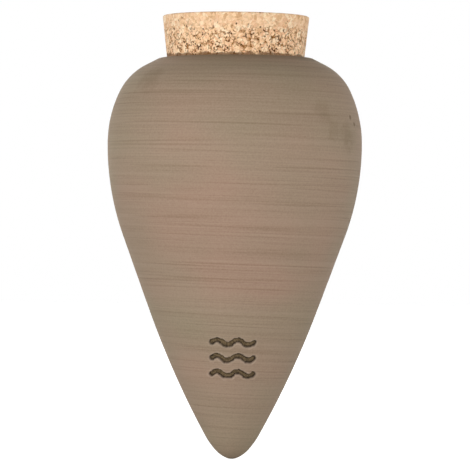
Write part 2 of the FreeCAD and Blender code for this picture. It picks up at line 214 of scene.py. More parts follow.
def clayMaterial(look):
    material, tree = newMaterial("turnedRawClay")
    coords = addNode(tree, "ShaderNodeTexCoord")
    inMm = addNode(
        tree, "ShaderNodeMapping", {"Vector": (coords, "Object"), "Scale": (1000, 1000, 1000)}
    )
    parts = addNode(tree, "ShaderNodeSeparateXYZ", {0: inMm})

    # The turning lines fall to the right, more so near the point
    fall = addNode(
        tree, "ShaderNodeMapRange",
        {"Value": (parts, "Z"), 1: 0.0, 2: look["rimHeight"],
         3: look["fallAtPoint"], 4: look["fallAtRim"]},
    )
    tilted = addNode(
        tree, "ShaderNodeMath", {0: (parts, "X"), 1: fall, 2: (parts, "Z")}, operation="MULTIPLY_ADD"
    )
    alongLines = addNode(
        tree, "ShaderNodeCombineXYZ", {"X": (parts, "X"), "Y": (parts, "Y"), "Z": tilted}
    )

    # Turning lines: noise drawn out round the vessel and packed close along its height
    marks = {}
    for number, name in enumerate(("fineLines", "bands", "scratches", "patches")):
        length, pitch, detail = look[name]
        apart = look["noiseApart"] * number
        stretched = addNode(
            tree, "ShaderNodeVectorMath",
            {0: alongLines, 1: (1 / length, 1 / length, 1 / pitch), 2: (apart, 0, apart)},
            operation="MULTIPLY_ADD",
        )
        marks[name] = addNode(
            tree, "ShaderNodeTexNoise",
            {"Vector": stretched, "Scale": 1.0, "Detail": detail, "Roughness": 0.6},
        )
    marks["scratches"] = addNode(
        tree, "ShaderNodeMapRange",
        {"Value": marks["scratches"], 1: look["scratchFrom"], 2: look["scratchTo"]},
        interpolation_type="SMOOTHSTEP",
    )
    grain = addNode(
        tree, "ShaderNodeTexNoise",
        {"Vector": inMm, "Scale": 1 / look["grain"], "Detail": 2.0, "Roughness": 0.6},
    )
    # Painted highlight: the raised burr beside the waves is made lighter
    burr = addNode(tree, "ShaderNodeAttribute", attribute_name="burr")
    marks["grain"] = grain
    marks["burr"] = (burr, "Fac")

    # Colour: a warmth that varies with height, towards the sides and in patches
    heights = sorted(look["warmth"])
    up = addNode(tree, "ShaderNodeMapRange", {"Value": (parts, "Z"), 1: heights[0], 2: heights[-1]})
    warmth = addNode(tree, "ShaderNodeValToRGB", {"Fac": up})
    warmth.color_ramp.interpolation = "EASE"
    greys = {height: (look["warmth"][height],) * 3 + (1.0,) for height in heights}
    setStops(warmth.color_ramp, [(height / heights[-1], greys[height]) for height in heights])
    acrossSquared = addNode(
        tree, "ShaderNodeMath", {0: (parts, "X"), 1: (parts, "X")}, operation="MULTIPLY"
    )
    cooling = addNode(
        tree, "ShaderNodeMapRange",
        {"Value": (parts, "Z"), 1: look["coolingFrom"], 2: look["coolingTo"],
         3: look["bellyCooling"], 4: look["shoulderCooling"]},
    )
    coolerSides = addNode(
        tree, "ShaderNodeMath", {0: acrossSquared, 1: cooling, 2: warmth}, operation="MULTIPLY_ADD"
    )
    patches = addNode(tree, "ShaderNodeMath", {0: marks["patches"], 1: 0.5}, operation="SUBTRACT")
    patchy = addNode(
        tree, "ShaderNodeMath", {0: patches, 1: look["patchShare"], 2: coolerSides},
        operation="MULTIPLY_ADD",
    )
    tint = addNode(tree, "ShaderNodeValToRGB", {"Fac": patchy})
    tints = [(look[f"{name}At"], linear(look[name])) for name in ("olive", "plain", "reddish")]
    setStops(tint.color_ramp, tints)

    # The marks make the clay lighter and darker
    shade = look["baseShade"]
    for name, share in look["shades"].items():
        shade = addNode(
            tree, "ShaderNodeMath", {0: marks[name], 1: share, 2: shade}, operation="MULTIPLY_ADD"
        )
    # Painted shade: the shoulder darkens towards the rim, where less light falls on it
    shoulder = addNode(
        tree, "ShaderNodeMapRange",
        {"Value": (parts, "Z"), 1: look["shoulderFrom"], 2: look["shoulderTo"],
         3: 0.0, 4: look["shoulderShade"]},
        interpolation_type="SMOOTHSTEP",
    )
    shade = addNode(tree, "ShaderNodeMath", {0: shade, 1: shoulder}, operation="ADD")

    # Smudges are soft and smeared, nicks small and sharp; the nicks are painted shade of small dents
    smears = addNode(
        tree, "ShaderNodeTexNoise", {"Vector": inMm, "Scale": look["smearScale"], "Detail": 2.0}
    )
    for name, noise in (("smudge", smears), ("nick", grain)):
        spread, core = look[f"{name}Spread"], look[f"{name}Core"]
        ragged = addNode(
            tree, "ShaderNodeVectorMath", {0: (noise, "Color"), 1: (spread,) * 3, 2: inMm},
            operation="MULTIPLY_ADD",
        )
        for x, y, z, reach, strength in look[f"{name}s"]:
            middle = (x + spread / 2, y + spread / 2, z + spread / 2)
            away = addNode(
                tree, "ShaderNodeVectorMath", {0: ragged, 1: middle}, operation="DISTANCE"
            )
            near = addNode(
                tree, "ShaderNodeMapRange",
                {"Value": (away, "Value"), 1: reach, 2: reach * core, 3: 0.0, 4: strength},
                interpolation_type="SMOOTHSTEP",
            )
            shade = addNode(tree, "ShaderNodeMath", {0: shade, 1: near}, operation="ADD")
    saturation = addNode(
        tree, "ShaderNodeMath", {0: shade, 1: look["saturationByShade"], 2: look["saturation"]},
        operation="MULTIPLY_ADD",
    )
    cleanClay = addNode(
        tree, "ShaderNodeHueSaturation", {"Saturation": saturation, "Value": shade, "Color": tint}
    )

    # Painted shadow along the rim round the cork, where the clay meets it
    rimShadowShare = addNode(
        tree, "ShaderNodeMapRange",
        {"Value": (parts, "Z"), 1: look["rimShadowFrom"], 2: look["rimShadowTo"], 3: 0.0, 4: look["rimShadowShare"]},
    )
    clay = addNode(
        tree, "ShaderNodeMix", {0: rimShadowShare, 6: cleanClay, 7: linear(look["rimShadow"])},
        data_type="RGBA",
    )

    # The pressed waves, painted shade: a mottled darker floor and near-black walls
    groove = addNode(tree, "ShaderNodeAttribute", attribute_name="groove")
    wall = addNode(tree, "ShaderNodeAttribute", attribute_name="wall")
    clumps = addNode(
        tree, "ShaderNodeMapRange",
        {"Value": grain, 1: 0.4, 2: 0.6, 3: look["floorDark"], 4: look["floorLight"]},
    )
    mottledFloorShade = addNode(
        tree, "ShaderNodeHueSaturation", {"Value": clumps, "Color": linear(look["markFloorShade"])}
    )
    floor = addNode(
        tree, "ShaderNodeMix", {0: (wall, "Fac"), 6: mottledFloorShade, 7: linear(look["markWallShade"])},
        data_type="RGBA",
    )
    colour = addNode(
        tree, "ShaderNodeMix", {0: (groove, "Fac"), 6: (clay, 2), 7: (floor, 2)}, data_type="RGBA"
    )

    relief = 0.0
    for name, share in look["relief"].items():
        relief = addNode(
            tree, "ShaderNodeMath", {0: marks[name], 1: share, 2: relief}, operation="MULTIPLY_ADD"
        )
    bump = addNode(
        tree, "ShaderNodeBump",
        {"Strength": 0.6, "Distance": look["reliefDepth"] * mm, "Height": relief},
    )
    surface = addNode(
        tree, "ShaderNodeBsdfPrincipled",
        {"Base Color": (colour, 2), "Roughness": look["roughness"], "IOR": look["ior"],
         "Specular IOR Level": look["specular"], "Sheen Weight": look["sheen"],
         "Sheen Roughness": 0.5, "Sheen Tint": linear(look["dust"]), "Normal": bump},
    )
    addNode(tree, "ShaderNodeOutputMaterial", {"Surface": surface})
    return material


# Pressed cork: granules two to four millimetres across, bonded, cut to a taper and sanded. Each of
# them has its own tan, with dark specks of bark and open crevices where the binder left gaps; the
# crevices and pits are also painted near black as shade. Sizes and heights are in millimetres
corkLook = {
    "granuleTans": ["#d6a87e", "#ebc399", "#f5d3ac", "#e4b48c", "#f9e2c0", "#f0cea8"],
    "tansFrom": 0.12, "tansTo": 0.9,
    "granuleShare": 0.55,  # of the tan, and the rest comes from the crumb in the granule
    # The crevice colour is painted shade, laid over the crevices and pits sunk into the mesh
    "darkBark": "#341600", "bark": "#6e3c08", "border": "#95602a", "crevice": "#522600",
    # The foot colour is a painted shadow where the cork meets the rim
    "footShadow": "#6e4e33", "dust": "#f2ddc4",
    "granules": 2.6, "crumbs": 1.35, "specks": 0.95, "fleck": 0.38, "bend": 1.6,
    "patternShift": (40.0, 0.0, 0.0),
    # Above one height the side is cut more cleanly, and the line between wanders up and down
    "smoothAbove": 174.5, "smoothWander": 9.0, "smoothShare": 0.18,
    "borderEdge": 0.17, "borderMiddle": 0.04,  # parts of a crumb
    "fewSpecks": 0.05, "manySpecks": 0.5, "smallSpeck": 0.22, "largeSpeck": 0.5,  # parts of a cell
    "speckEdge": 0.08, "speckShare": 0.95,
    "fleckDark": 0.84, "fleckLight": 1.13, "roughShade": 0.07,
    "footAt": 164.05, "footWander": 3.0, "footReach": 1.2, "footCore": 0.5, "footShadowShare": 0.8,
    "relief": -1.0, "speckRelief": -1.2, "reliefDepth": 0.2,
    "roughness": 0.85, "ior": 1.4, "specular": 0.08, "sheen": 0.12,
}


def corkMaterial(look):
    material, tree = newMaterial("pressedCork")
    coords = addNode(tree, "ShaderNodeTexCoord")
    inMm = addNode(
        tree, "ShaderNodeMapping", {"Vector": (coords, "Object"), "Scale": (1000, 1000, 1000)}
    )
    parts = addNode(tree, "ShaderNodeSeparateXYZ", {0: inMm})
    inPattern = addNode(
        tree, "ShaderNodeVectorMath", {0: inMm, 1: look["patternShift"]}, operation="ADD"
    )
    bendNoise = addNode(
        tree, "ShaderNodeTexNoise", {"Vector": inPattern, "Scale": 0.5, "Detail": 2.0}
    )
    bent = addNode(
        tree, "ShaderNodeVectorMath", {0: (bendNoise, "Color"), 1: (look["bend"],) * 3, 2: inPattern},
        operation="MULTIPLY_ADD",
    )

    # Granules, the crumbs within them and specks: a cell each, with colours drawn by lot
    cells, keys = {}, {}
    for name in ("granules", "crumbs", "specks"):
        cells[name] = addNode(
            tree, "ShaderNodeTexVoronoi", {"Vector": bent, "Scale": 1 / look[name]}, feature="F1"
        )
        keys[name] = addNode(tree, "ShaderNodeSeparateColor", {0: (cells[name], "Color")})
    crumbBorders = addNode(
        tree, "ShaderNodeTexVoronoi", {"Vector": bent, "Scale": 1 / look["crumbs"]},
        feature="DISTANCE_TO_EDGE",
    )
    crumbKey = addNode(
        tree, "ShaderNodeMath", {0: (keys["crumbs"], "Red"), 1: 1 - look["granuleShare"]},
        operation="MULTIPLY",
    )
    mixedKey = addNode(
        tree, "ShaderNodeMath", {0: (keys["granules"], "Red"), 1: look["granuleShare"], 2: crumbKey},
        operation="MULTIPLY_ADD",
    )
    tan = addNode(tree, "ShaderNodeValToRGB", {"Fac": mixedKey})
    tanStep = (look["tansTo"] - look["tansFrom"]) / (len(look["granuleTans"]) - 1)
    setStops(tan.color_ramp, [
        (look["tansFrom"] + tanStep * number, linear(hexColour))
        for number, hexColour in enumerate(look["granuleTans"])
    ])

    # The side is cut more cleanly under the top, and crumbly below
    clumps = addNode(tree, "ShaderNodeTexNoise", {"Vector": inPattern, "Scale": 0.2, "Detail": 1.0})
    cleanCut = addNode(
        tree, "ShaderNodeMath",
        {0: clumps, 1: look["smoothWander"], 2: look["smoothAbove"] - look["smoothWander"] / 2},
        operation="MULTIPLY_ADD",
    )
    below = addNode(tree, "ShaderNodeMath", {0: cleanCut, 1: (parts, "Z")}, operation="SUBTRACT")
    rough = addNode(
        tree, "ShaderNodeMapRange", {"Value": below, 1: -2.5, 2: 1.5, 3: look["smoothShare"], 4: 1.0}
    )

    # Brown borders round the crumbs, open in some places and closed in others
    borders = addNode(
        tree, "ShaderNodeMapRange",
        {"Value": (crumbBorders, "Distance"), 1: look["borderEdge"], 2: look["borderMiddle"]},
    )
    openNoise = addNode(
        tree, "ShaderNodeTexNoise",
        {"Vector": inPattern, "Scale": 0.55, "Detail": 2.0, "Roughness": 0.6},
    )
    opened = addNode(tree, "ShaderNodeMapRange", {"Value": openNoise, 1: 0.42, 2: 0.6})
    openBorders = addNode(tree, "ShaderNodeMath", {0: borders, 1: opened}, operation="MULTIPLY")
    borderMask = addNode(tree, "ShaderNodeMath", {0: openBorders, 1: rough}, operation="MULTIPLY")

    # Bark specks in some of the smallest cells
    clustered = addNode(
        tree, "ShaderNodeMapRange",
        {"Value": openNoise, 1: 0.38, 2: 0.62, 3: look["fewSpecks"], 4: look["manySpecks"]},
    )
    share = addNode(tree, "ShaderNodeMath", {0: rough, 1: clustered}, operation="MULTIPLY")
    chosen = addNode(
        tree, "ShaderNodeMath", {0: (keys["specks"], "Red"), 1: share}, operation="LESS_THAN"
    )
    speckSize = addNode(
        tree, "ShaderNodeMapRange",
        {"Value": (keys["specks"], "Green"), 1: 0.0, 2: 1.0,
         3: look["smallSpeck"], 4: look["largeSpeck"]},
    )
    within = addNode(
        tree, "ShaderNodeMath", {0: speckSize, 1: (cells["specks"], "Distance")},
        operation="SUBTRACT",
    )
    dark = addNode(
        tree, "ShaderNodeMapRange",
        {"Value": within, 1: -look["speckEdge"], 2: look["speckEdge"], 3: 0.0, 4: look["speckShare"]},
    )
    speckMask = addNode(tree, "ShaderNodeMath", {0: dark, 1: chosen}, operation="MULTIPLY")

    # The body of the cork, then its borders and its bark
    flecks = addNode(
        tree, "ShaderNodeTexNoise",
        {"Vector": inPattern, "Scale": 1 / look["fleck"], "Detail": 2.0, "Roughness": 0.7},
    )
    fleckShade = addNode(
        tree, "ShaderNodeMapRange",
        {"Value": flecks, 1: 0.25, 2: 0.75, 3: look["fleckDark"], 4: look["fleckLight"]},
    )
    bodyShade = addNode(
        tree, "ShaderNodeMath", {0: rough, 1: look["roughShade"], 2: fleckShade},
        operation="MULTIPLY_ADD",
    )
    body = addNode(tree, "ShaderNodeHueSaturation", {"Value": bodyShade, "Color": tan})
    bordered = addNode(
        tree, "ShaderNodeMix", {0: borderMask, 6: body, 7: linear(look["border"])}, data_type="RGBA"
    )
    bark = addNode(
        tree, "ShaderNodeMix",
        {0: (keys["specks"], "Blue"), 6: linear(look["darkBark"]), 7: linear(look["bark"])},
        data_type="RGBA",
    )
    specked = addNode(
        tree, "ShaderNodeMix", {0: speckMask, 6: (bordered, 2), 7: (bark, 2)}, data_type="RGBA"
    )

    # A dark line of painted shadow where the cork meets the rim
    footLine = addNode(
        tree, "ShaderNodeMath",
        {0: clumps, 1: look["footWander"], 2: look["footAt"] - look["footWander"] / 2},
        operation="MULTIPLY_ADD",
    )
    aboveFoot = addNode(tree, "ShaderNodeMath", {0: (parts, "Z"), 1: footLine}, operation="SUBTRACT")
    footAway = addNode(tree, "ShaderNodeMath", {0: aboveFoot}, operation="ABSOLUTE")
    footNear = addNode(
        tree, "ShaderNodeMapRange",
        {"Value": footAway, 1: look["footReach"], 2: look["footCore"], 3: 0.0, 4: look["footShadowShare"]},
        interpolation_type="SMOOTHSTEP",
    )
    footShadowed = addNode(
        tree, "ShaderNodeMix", {0: footNear, 6: (specked, 2), 7: linear(look["footShadow"])},
        data_type="RGBA",
    )
    # Painted shade: the crevices and pits, already sunk into the mesh, are also painted near black
    crevice = addNode(tree, "ShaderNodeAttribute", attribute_name="crevice")
    shadowed = addNode(
        tree, "ShaderNodeMapRange", {"Value": (crevice, "Fac"), 1: 0.15, 2: 0.8, 3: 0.0, 4: 0.95}
    )
    colour = addNode(
        tree, "ShaderNodeMix", {0: shadowed, 6: (footShadowed, 2), 7: linear(look["crevice"])},
        data_type="RGBA",
    )

    relief = flecks
    for mask, share in ((borderMask, look["relief"]), (speckMask, look["speckRelief"])):
        relief = addNode(
            tree, "ShaderNodeMath", {0: mask, 1: share, 2: relief}, operation="MULTIPLY_ADD"
        )
    bump = addNode(
        tree, "ShaderNodeBump",
        {"Strength": 0.6, "Distance": look["reliefDepth"] * mm, "Height": relief},
    )
    surface = addNode(
        tree, "ShaderNodeBsdfPrincipled",
        {"Base Color": (colour, 2), "Roughness": look["roughness"], "IOR": look["ior"],
         "Specular IOR Level": look["specular"], "Sheen Weight": look["sheen"],
         "Sheen Roughness": 0.5, "Sheen Tint": linear(look["dust"]), "Normal": bump},
    )
    addNode(tree, "ShaderNodeOutputMaterial", {"Surface": surface})
    return material


materials["clay"] = clayMaterial(clayLook)
materials["cork"] = corkMaterial(corkLook)
print("materials made")

# The vessel, in millimetres and degrees. Its section is a chain of arcs and straight lines, and the
# inside runs beside the outside
vesselShape = {
    "bellyRadius": 52.0, "bellyHeight": 128.8, "upperBellyRadius": 50.0, "lowerBellyRadius": 110.3,
    "shoulderRadius": 23.2, "shoulderFlat": 9.3, "shoulderRise": 36.4,
    "flankLength": 31.8, "pointFlankRadius": 366.0,
    # The point is rounded in three arcs, which change over at these angles below level
    "tipRadius": 6.0, "tipTurn": 65.1, "roundRadius": 13.3, "roundTurn": 41.4, "taperRadius": 33.7,
    "wall": 6.0, "floorRadius": 7.0, "mouthRadius": 28.53, "mouthTaper": 6.4,
    "lipRadius": 2.6, "innerLipRadius": 2.3,
    "fineSpan": 24.0, "fineStep": 0.6, "plainStep": 2.6,  # round the front and elsewhere
    # Spacing along the section
    "tipRow": 0.5, "fineRow": 0.33, "plainRow": 0.75, "lipRow": 0.25, "innerLipRow": 0.5,
    "insideRow": 2.4, "floorRow": 1.5,
}


def crossing(centreA, radiusA, centreB, radiusB, side):
    # Where two circles cross, on the left (+1) or right (-1) of the line from A to B
    apart = math.dist(centreA, centreB)
    along = (apart**2 + radiusA**2 - radiusB**2) / (2 * apart)
    off = side * math.sqrt(radiusA**2 - along**2)
    dx, dz = (centreB[0] - centreA[0]) / apart, (centreB[1] - centreA[1]) / apart
    return centreA[0] + dx * along - dz * off, centreA[1] + dz * along + dx * off


def widerCentre(centre, turn, extra):
    # Centre of an arc with a larger radius that goes on from another one at this turn
    return centre[0] - extra * math.cos(turn), centre[1] - extra * math.sin(turn)


def vesselSection(s):
    lower = (s["bellyRadius"] - s["lowerBellyRadius"], s["bellyHeight"])
    upper = (s["bellyRadius"] - s["upperBellyRadius"], s["bellyHeight"])
    rim = (s["mouthRadius"], s["bellyHeight"] + s["shoulderRise"])
    tip = (0.0, s["tipRadius"])
    shoulder = crossing(
        rim, math.hypot(s["shoulderFlat"], s["shoulderRadius"]),
        upper, s["upperBellyRadius"] - s["shoulderRadius"], +1,
    )
    tipTurn, roundTurn = -math.radians(s["tipTurn"]), -math.radians(s["roundTurn"])
    rounded = widerCentre(tip, tipTurn, s["roundRadius"] - s["tipRadius"])
    taper = widerCentre(rounded, roundTurn, s["taperRadius"] - s["roundRadius"])
    flankSpare = s["pointFlankRadius"] - s["lowerBellyRadius"]
    flank = crossing(
        lower, math.hypot(flankSpare, s["flankLength"]),
        taper, s["pointFlankRadius"] - s["taperRadius"], -1,
    )
    slope = math.atan2(rim[1] - shoulder[1], rim[0] - shoulder[0])
    slope -= math.atan2(s["shoulderFlat"], s["shoulderRadius"])
    side = math.atan2(lower[1] - flank[1], lower[0] - flank[0])
    side -= math.atan2(s["flankLength"], flankSpare)
    shoulderStart = math.atan2(shoulder[1] - upper[1], shoulder[0] - upper[0])
    taperEnd = math.atan2(taper[1] - flank[1], taper[0] - flank[0])
    mouth = math.pi - math.radians(s["mouthTaper"])
    underSlope = slope + math.pi

    # The corner under the rim, where the tapered mouth meets the inside of the shoulder
    fall = s["wall"] / math.sin(mouth - slope)
    innerCorner = (rim[0] - fall * math.sin(mouth), rim[1] + fall * math.cos(mouth))
    innerFlank = s["pointFlankRadius"] - s["wall"]
    floorCentre = (0.0, flank[1] - math.sqrt((innerFlank - s["floorRadius"])**2 - flank[0]**2))
    floorEnd = math.atan2(floorCentre[1] - flank[1], floorCentre[0] - flank[0])
    lipCentre = roundedCorner(rim, slope, mouth, s["lipRadius"])
    underCentre = roundedCorner(innerCorner, mouth, underSlope, s["innerLipRadius"])

    straightDown = -math.pi / 2
    plain, inside = s["plainRow"], s["insideRow"]
    return sectionOf([
        (tip, s["tipRadius"], straightDown, tipTurn, s["tipRow"]),
        (rounded, s["roundRadius"], tipTurn, roundTurn, s["tipRow"]),
        (taper, s["taperRadius"], roundTurn, taperEnd, s["tipRow"]),
        (flank, s["pointFlankRadius"], taperEnd, side, s["fineRow"]),
        (lower, s["lowerBellyRadius"], side, 0.0, plain),
        (upper, s["upperBellyRadius"], 0.0, shoulderStart, plain),
        (shoulder, s["shoulderRadius"], shoulderStart, slope, plain),
        (lipCentre, s["lipRadius"], slope, mouth, s["lipRow"]),
        (underCentre, s["innerLipRadius"], mouth, underSlope, s["innerLipRow"]),
        (shoulder, s["shoulderRadius"] - s["wall"], slope, shoulderStart, inside),
        (upper, s["upperBellyRadius"] - s["wall"], shoulderStart, 0.0, inside),
        (lower, s["lowerBellyRadius"] - s["wall"], 0.0, side, inside),
        (flank, innerFlank, side, floorEnd, inside),
        (floorCentre, s["floorRadius"], floorEnd, straightDown, s["floorRow"]),
    ])


def roundAngles(s):
    # Closer together across the front, where the waves are pressed
    start, fineSpan = -90 - s["fineSpan"], 2 * s["fineSpan"]
    plainSpan = 360 - fineSpan
    fineCount, plainCount = round(fineSpan / s["fineStep"]), round(plainSpan / s["plainStep"])
    fine = [start + fineSpan * k / fineCount for k in range(fineCount)]
    plain = [start + fineSpan + plainSpan * k / plainCount for k in range(plainCount)]
    return [math.radians(a) for a in fine + plain]


# What the wheel and the stamp leave in the clay, in metres. A noise has so many cells in each metre
clayMarks = {
    "Ring pitch": 5.0 * mm,
    "Ring depth": 0.05 * mm,
    "Ring tilt": 0.025,  # fall to the right for each metre across
    "Ring wander": 1.6 * mm,
    "Wander noise": 22.0,
    "Out of round": 0.25 * mm,
    "Round noise": 9.0,
    "Rim tilt": 0.008,  # rise to the right for each metre across, above the belly
    "Tilt from": 138.0 * mm,
    "Tilt to": 156.0 * mm,
    "Mark height": 42.0 * mm,
    "Wave count": 3,
    "Wave spacing": 6.4 * mm,
    "Wave bends": 4,
    "Wave step": 4.2 * mm,
    "Wave radius": 2.9 * mm,
    "Groove width": 2.2 * mm,
    "Groove depth": 1.0 * mm,
    "Groove edge": 0.22 * mm,
    "Ragged width": 0.3 * mm,
    "Ragged noise": 700.0,
    "Burr height": 0.12 * mm,
}


def clayMarksTree(sizes):
    tree, given = newTree("turned rings and pressed waves", sizes)
    place = addNode(tree, "GeometryNodeInputPosition")
    normal = addNode(tree, "GeometryNodeInputNormal")
    parts = addNode(tree, "ShaderNodeSeparateXYZ", {0: place})
    facing = addNode(tree, "ShaderNodeSeparateXYZ", {0: normal})

    # Turning rings: noise along the height, on planes that tilt and wander a little
    tilted = addNode(
        tree, "ShaderNodeMath", {0: (parts, "X"), 1: (given, "Ring tilt"), 2: (parts, "Z")},
        operation="MULTIPLY_ADD",
    )
    wander = addNode(
        tree, "ShaderNodeTexNoise", {"Vector": place, "Scale": (given, "Wander noise"), "Detail": 1.0}
    )
    wandered = addNode(
        tree, "ShaderNodeMath", {0: (wander, "Fac"), 1: (given, "Ring wander"), 2: tilted},
        operation="MULTIPLY_ADD",
    )
    along = addNode(
        tree, "ShaderNodeMath", {0: wandered, 1: (given, "Ring pitch")}, operation="DIVIDE"
    )
    rings = addNode(
        tree, "ShaderNodeTexNoise", {"W": along, "Scale": 1.0, "Detail": 3.0, "Roughness": 0.6},
        noise_dimensions="1D",
    )
    ringHeight = addNode(
        tree, "ShaderNodeMapRange",
        {"Value": (rings, "Fac"), 1: 0.2, 2: 0.8, 3: -0.5, 4: 0.5}, clamp=False,
    )
    ringLift = addNode(
        tree, "ShaderNodeMath", {0: ringHeight, 1: (given, "Ring depth")}, operation="MULTIPLY"
    )
    roundness = addNode(
        tree, "ShaderNodeTexNoise", {"Vector": place, "Scale": (given, "Round noise"), "Detail": 0.0}
    )
    roundHeight = addNode(
        tree, "ShaderNodeMath", {0: (roundness, "Fac"), 1: 0.5}, operation="SUBTRACT"
    )
    lift = addNode(
        tree, "ShaderNodeMath", {0: roundHeight, 1: (given, "Out of round"), 2: ringLift},
        operation="MULTIPLY_ADD",
    )

    # One wave: points on a line, bent onto arcs that run up and down in turn
    pointCount = 97
    length = addNode(
        tree, "ShaderNodeMath", {0: (given, "Wave bends"), 1: (given, "Wave step")},
        operation="MULTIPLY",
    )
    left = addNode(tree, "ShaderNodeMath", {0: length, 1: -0.5}, operation="MULTIPLY")
    step = addNode(tree, "ShaderNodeMath", {0: length, 1: pointCount - 1.0}, operation="DIVIDE")
    start = addNode(tree, "ShaderNodeCombineXYZ", {"X": left})
    offset = addNode(tree, "ShaderNodeCombineXYZ", {"X": step})
    points = addNode(
        tree, "GeometryNodeMeshLine",
        {"Count": pointCount, "Start Location": start, "Offset": offset},
    )
    linePlace = addNode(tree, "GeometryNodeInputPosition")
    lineX = addNode(tree, "ShaderNodeSeparateXYZ", {0: linePlace})
    fromLeft = addNode(tree, "ShaderNodeMath", {0: (lineX, "X"), 1: left}, operation="SUBTRACT")
    bends = addNode(
        tree, "ShaderNodeMath", {0: fromLeft, 1: (given, "Wave step")}, operation="DIVIDE"
    )
    bend = addNode(tree, "ShaderNodeMath", {0: bends}, operation="FLOOR")
    odd = addNode(tree, "ShaderNodeMath", {0: bend, 1: 2.0}, operation="FLOORED_MODULO")
    upOrDown = addNode(tree, "ShaderNodeMath", {0: odd, 1: -2.0, 2: 1.0}, operation="MULTIPLY_ADD")
    within = addNode(tree, "ShaderNodeMath", {0: bends}, operation="FRACT")
    centred = addNode(tree, "ShaderNodeMath", {0: within, 1: 0.5}, operation="SUBTRACT")
    across = addNode(
        tree, "ShaderNodeMath", {0: centred, 1: (given, "Wave step")}, operation="MULTIPLY"
    )
    halfStep = addNode(
        tree, "ShaderNodeMath", {0: (given, "Wave step"), 1: 0.5}, operation="MULTIPLY"
    )
    radiusSquared = addNode(
        tree, "ShaderNodeMath", {0: (given, "Wave radius"), 1: (given, "Wave radius")},
        operation="MULTIPLY",
    )
    heights = []
    for reach in (across, halfStep):
        reachSquared = addNode(tree, "ShaderNodeMath", {0: reach, 1: reach}, operation="MULTIPLY")
        rest = addNode(
            tree, "ShaderNodeMath", {0: radiusSquared, 1: reachSquared}, operation="SUBTRACT"
        )
        heights.append(addNode(tree, "ShaderNodeMath", {0: rest}, operation="SQRT"))
    crest = addNode(tree, "ShaderNodeMath", {0: heights[0], 1: heights[1]}, operation="SUBTRACT")
    waveHeight = addNode(tree, "ShaderNodeMath", {0: crest, 1: upOrDown}, operation="MULTIPLY")
    wavePlace = addNode(tree, "ShaderNodeCombineXYZ", {"X": (lineX, "X"), "Z": waveHeight})
    wave = addNode(tree, "GeometryNodeSetPosition", {"Geometry": points, "Position": wavePlace})

    # The waves lie one above the other
    spans = addNode(tree, "ShaderNodeMath", {0: (given, "Wave count"), 1: 1.0}, operation="SUBTRACT")
    halfSpans = addNode(tree, "ShaderNodeMath", {0: spans, 1: -0.5}, operation="MULTIPLY")
    lowest = addNode(
        tree, "ShaderNodeMath",
        {0: halfSpans, 1: (given, "Wave spacing"), 2: (given, "Mark height")},
        operation="MULTIPLY_ADD",
    )
    stackStart = addNode(tree, "ShaderNodeCombineXYZ", {"Z": lowest})
    stackOffset = addNode(tree, "ShaderNodeCombineXYZ", {"Z": (given, "Wave spacing")})
    stack = addNode(
        tree, "GeometryNodeMeshLine",
        {"Count": (given, "Wave count"), "Start Location": stackStart, "Offset": stackOffset},
    )
    waves = addNode(tree, "GeometryNodeInstanceOnPoints", {"Points": stack, "Instance": wave})
    allWaves = addNode(tree, "GeometryNodeRealizeInstances", {"Geometry": waves})

    # Distance from the nearest wave, measured straight from the front, in parts of the groove's edge
    flat = addNode(tree, "ShaderNodeCombineXYZ", {"X": (parts, "X"), "Z": (parts, "Z")})
    nearest = addNode(
        tree, "GeometryNodeProximity", {"Geometry": allWaves, "Sample Position": flat},
        target_element="EDGES",
    )
    front = addNode(tree, "ShaderNodeMath", {0: (facing, "Y"), 1: -0.1}, operation="LESS_THAN")
    halfWidth = addNode(
        tree, "ShaderNodeMath", {0: (given, "Groove width"), 1: 0.5}, operation="MULTIPLY"
    )
    uneven = addNode(
        tree, "ShaderNodeTexNoise", {"Vector": place, "Scale": (given, "Ragged noise"), "Detail": 2.0}
    )
    inOrOut = addNode(
        tree, "ShaderNodeMapRange", {"Value": (uneven, "Fac"), 1: 0.3, 2: 0.7, 3: -1.0, 4: 1.0}
    )
    raggedWidth = addNode(
        tree, "ShaderNodeMath", {0: inOrOut, 1: (given, "Ragged width"), 2: halfWidth},
        operation="MULTIPLY_ADD",
    )
    beyond = addNode(
        tree, "ShaderNodeMath", {0: (nearest, "Distance"), 1: raggedWidth}, operation="SUBTRACT"
    )
    edgeShare = addNode(
        tree, "ShaderNodeMath", {0: beyond, 1: (given, "Groove edge")}, operation="DIVIDE"
    )
    pressed = addNode(
        tree, "ShaderNodeMapRange", {"Value": edgeShare, 1: 0.6, 2: -0.8},
        interpolation_type="SMOOTHSTEP",
    )
    groove = addNode(tree, "ShaderNodeMath", {0: pressed, 1: front}, operation="MULTIPLY")
    wall = addNode(
        tree, "ShaderNodeMapRange", {"Value": edgeShare, 1: -3.4, 2: -0.9},
        interpolation_type="SMOOTHSTEP",
    )
    swelling = addNode(
        tree, "ShaderNodeMapRange", {"Value": edgeShare, 1: 3.6, 2: 1.6},
        interpolation_type="SMOOTHSTEP",
    )
    roughBurr = addNode(
        tree, "ShaderNodeMath", {0: swelling, 1: (uneven, "Fac")}, operation="MULTIPLY"
    )
    notPressed = addNode(tree, "ShaderNodeMath", {0: 1.0, 1: pressed}, operation="SUBTRACT")
    burrOutside = addNode(tree, "ShaderNodeMath", {0: roughBurr, 1: notPressed}, operation="MULTIPLY")
    burr = addNode(tree, "ShaderNodeMath", {0: burrOutside, 1: front}, operation="MULTIPLY")
    burrLift = addNode(
        tree, "ShaderNodeMath", {0: burr, 1: (given, "Burr height"), 2: lift},
        operation="MULTIPLY_ADD",
    )
    floorNoise = addNode(
        tree, "ShaderNodeMapRange", {"Value": (uneven, "Fac"), 1: 0.2, 2: 0.8, 3: 0.8, 4: 1.15}
    )
    grooveDepth = addNode(
        tree, "ShaderNodeMath", {0: (given, "Groove depth"), 1: floorNoise}, operation="MULTIPLY"
    )
